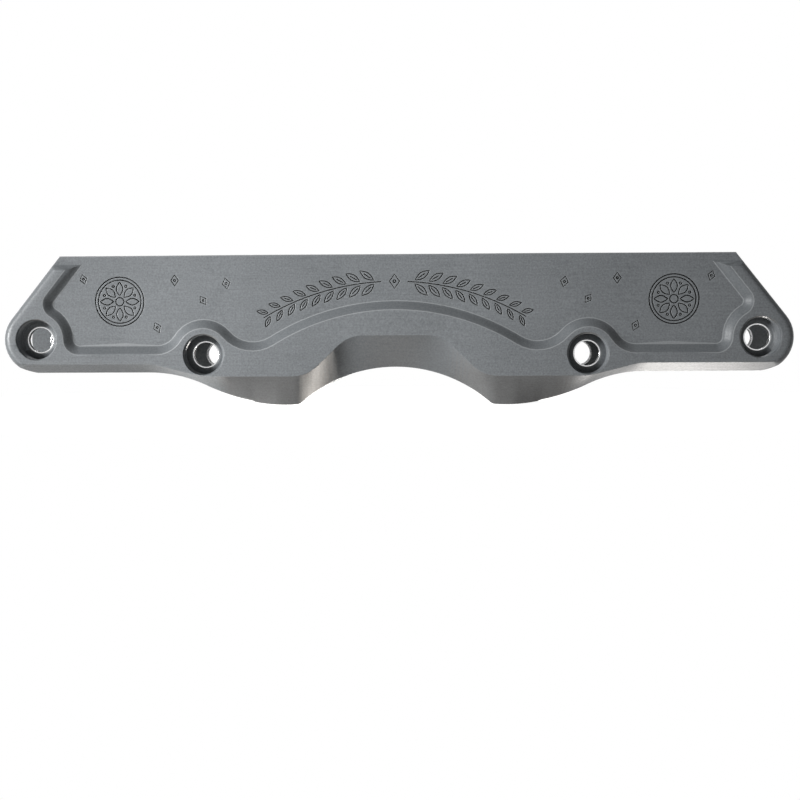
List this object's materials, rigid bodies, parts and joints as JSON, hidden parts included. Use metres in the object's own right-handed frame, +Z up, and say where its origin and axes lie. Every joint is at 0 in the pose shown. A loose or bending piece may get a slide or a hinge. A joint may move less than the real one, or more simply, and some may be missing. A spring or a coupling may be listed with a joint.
{
  "type": "aggressive inline skate frame",
  "caption": "Long milled polymer skate frame with bevelled walls, a deep grinding arch, recessed side panels and metal sleeves in its axle bores.",
  "frame": {"origin": "middle of the two boot bolts, on the deck's top face", "axes": "+X along the frame, +Y to its left side, +Z up out of the deck"},
  "size_m": [0.3024, 0.0456, 0.0576],
  "materials": {
    "polymer": "satin, finely milled",
    "sleeve_metal": "bright turned"
  },
  "bodies": {
    "root": {"frame_body": "polymer", "axle_1_left_sleeve": "sleeve_metal", "axle_1_right_sleeve": "sleeve_metal", "axle_2_left_sleeve": "sleeve_metal", "axle_2_right_sleeve": "sleeve_metal", "axle_3_left_sleeve": "sleeve_metal", "axle_3_right_sleeve": "sleeve_metal", "axle_4_left_sleeve": "sleeve_metal", "axle_4_right_sleeve": "sleeve_metal"}
  },
  "joints": []
}
